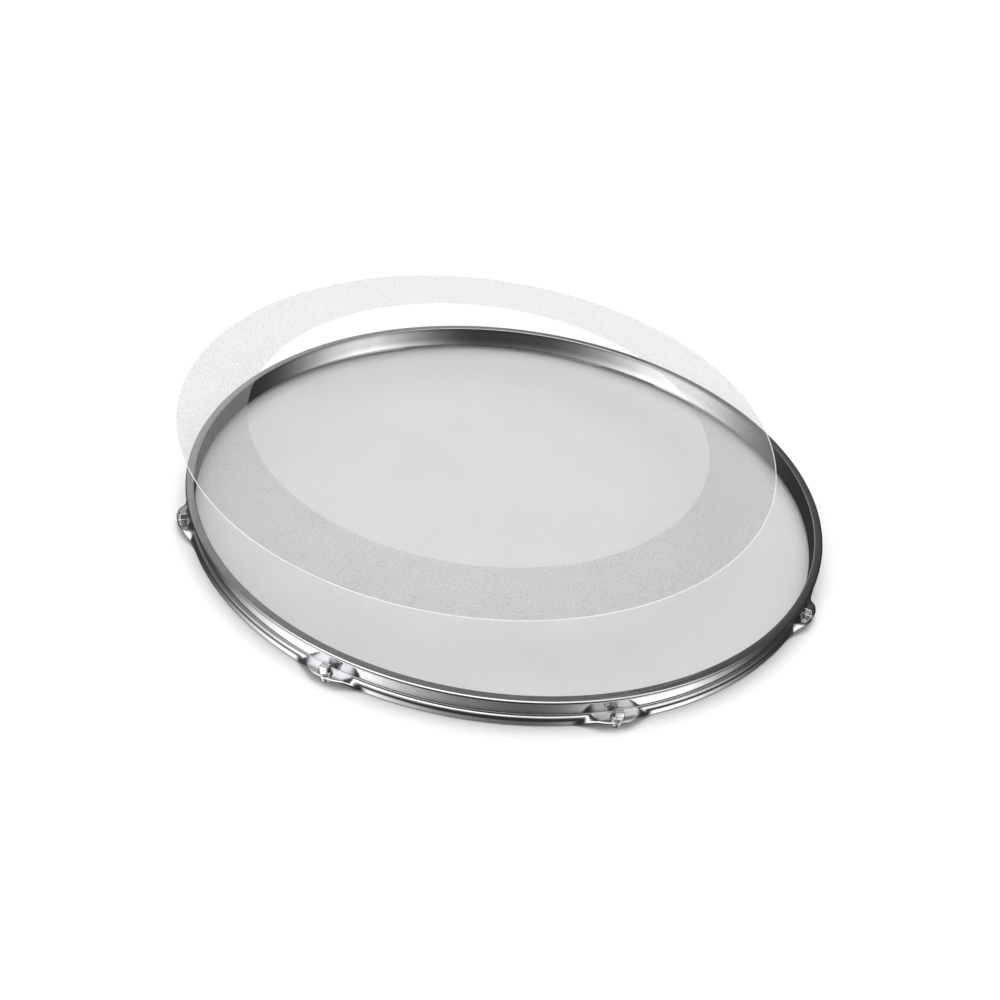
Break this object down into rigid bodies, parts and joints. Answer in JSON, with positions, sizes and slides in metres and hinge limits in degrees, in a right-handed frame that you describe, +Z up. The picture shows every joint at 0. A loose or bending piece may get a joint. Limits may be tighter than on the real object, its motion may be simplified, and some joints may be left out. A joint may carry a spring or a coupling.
{
  "type": "drum hoop and head assembly",
  "caption": "Flanged metal drum hoop with turned-out ears, square-headed key rods and washers, a translucent head inside it, and a loose frosted damping ring held above the head.",
  "frame": {"origin": "on the hoop's axis, in the plane of the skirt's lower edge that the hoop rests on", "axes": "+Z up along the hoop's axis, out of the playing side; the first ear is 21 degrees from +X towards +Y"},
  "size_m": [0.3748, 0.37, 0.0591],
  "materials": {
    "chromed_steel": "polished",
    "rod_chrome": "polished",
    "washer_steel": "bright plated",
    "head_film": "hazy translucent",
    "flesh_metal": "satin",
    "ring_film": "frosted fine grain"
  },
  "bodies": {
    "hoop_and_head": {"hoop": "chromed_steel", "head_film": "head_film", "flesh_hoop": "flesh_metal", "washer_1": "washer_steel", "washer_2": "washer_steel", "washer_3": "washer_steel", "washer_4": "washer_steel", "washer_5": "washer_steel", "washer_6": "washer_steel", "washer_7": "washer_steel", "washer_8": "washer_steel"},
    "ring": {"damping_ring": "ring_film"},
    "rod_1": {"tension_rod_1": "rod_chrome"},
    "rod_2": {"tension_rod_2": "rod_chrome"},
    "rod_3": {"tension_rod_3": "rod_chrome"},
    "rod_4": {"tension_rod_4": "rod_chrome"},
    "rod_5": {"tension_rod_5": "rod_chrome"},
    "rod_6": {"tension_rod_6": "rod_chrome"},
    "rod_7": {"tension_rod_7": "rod_chrome"},
    "rod_8": {"tension_rod_8": "rod_chrome"}
  },
  "joints": [
    {"name": "ring_lift", "type": "slide", "parent": "hoop_and_head", "child": "ring", "axis": [-0.3972, 0.0199, 0.9175], "range_m": [-0.0504, 0.06]},
    {"name": "rod_1_turn", "type": "hinge", "parent": "hoop_and_head", "child": "rod_1", "pos_m": [0.17458, 0.06702, 0.0056], "axis": [0, 0, 1], "continuous": true},
    {"name": "rod_2_turn", "type": "hinge", "parent": "hoop_and_head", "child": "rod_2", "pos_m": [0.07606, 0.17083, 0.0056], "axis": [0, 0, 1], "continuous": true},
    {"name": "rod_3_turn", "type": "hinge", "parent": "hoop_and_head", "child": "rod_3", "pos_m": [-0.06702, 0.17458, 0.0056], "axis": [0, 0, 1], "continuous": true},
    {"name": "rod_4_turn", "type": "hinge", "parent": "hoop_and_head", "child": "rod_4", "pos_m": [-0.17083, 0.07606, 0.0056], "axis": [0, 0, 1], "continuous": true},
    {"name": "rod_5_turn", "type": "hinge", "parent": "hoop_and_head", "child": "rod_5", "pos_m": [-0.17458, -0.06702, 0.0056], "axis": [0, 0, 1], "continuous": true},
    {"name": "rod_6_turn", "type": "hinge", "parent": "hoop_and_head", "child": "rod_6", "pos_m": [-0.07606, -0.17083, 0.0056], "axis": [0, 0, 1], "continuous": true},
    {"name": "rod_7_turn", "type": "hinge", "parent": "hoop_and_head", "child": "rod_7", "pos_m": [0.06702, -0.17458, 0.0056], "axis": [0, 0, 1], "continuous": true},
    {"name": "rod_8_turn", "type": "hinge", "parent": "hoop_and_head", "child": "rod_8", "pos_m": [0.17083, -0.07606, 0.0056], "axis": [0, 0, 1], "continuous": true}
  ]
}
